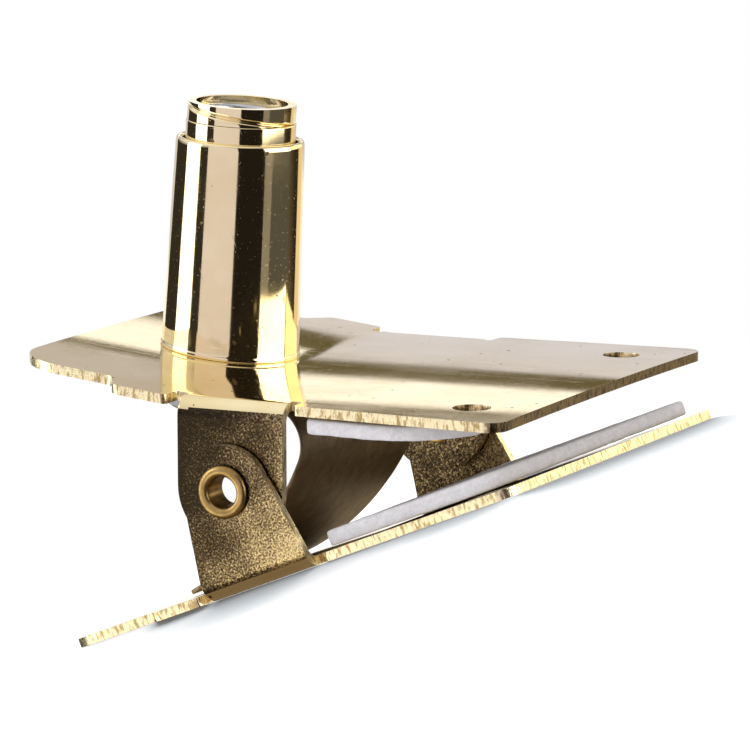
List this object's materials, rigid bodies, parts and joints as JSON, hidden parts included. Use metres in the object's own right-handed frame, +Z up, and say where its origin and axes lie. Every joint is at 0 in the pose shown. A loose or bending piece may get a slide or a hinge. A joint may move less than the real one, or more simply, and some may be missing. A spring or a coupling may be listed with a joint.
{
  "type": "watch movement holder clip",
  "caption": "Spring clip with felt-lined brass jaws on two tubular rivets, closed by a bow spring, carrying a tapered post that ends in a short flexible neck.",
  "frame": {"origin": "on the underside of the lower jaw, straight below the hinge axis, on the middle plane", "axes": "+X out of the jaw mouth, +Y across the jaws along the hinge axis, +Z up from the lower jaw's resting face"},
  "size_m": [0.0642, 0.0588, 0.0553],
  "materials": {
    "polished_brass": "polished brass sheet and turned brass, fine dust and hairline scratches",
    "aged_brass": "satin, darker brass",
    "spring_strip": "bronzed spring strip, brushed and stained",
    "plain_steel": "zinc plated steel",
    "grip_felt": "pale grey pressed felt"
  },
  "bodies": {
    "lower_jaw_body": {"lower_jaw": "polished_brass", "lower_pad": "grip_felt", "near_rivet": "aged_brass", "far_rivet": "aged_brass"},
    "upper_jaw_body": {"upper_jaw": "polished_brass", "upper_pad": "grip_felt", "post_ferrule": "polished_brass", "neck_collar": "polished_brass", "neck_winding": "polished_brass", "neck_core": "plain_steel", "threaded_nipple": "plain_steel", "lock_washer": "plain_steel", "lock_nut": "plain_steel", "bow_spring": "spring_strip"}
  },
  "joints": [
    {"name": "jaw_hinge", "type": "hinge", "parent": "lower_jaw_body", "child": "upper_jaw_body", "pos_m": [0, 0, 0.0111], "axis": [0, -1, 0], "range_deg": [0, 35], "stiffness_Nm_per_rad": 0.25, "springref_deg": -34.38, "deforming": ["bow_spring"]}
  ]
}
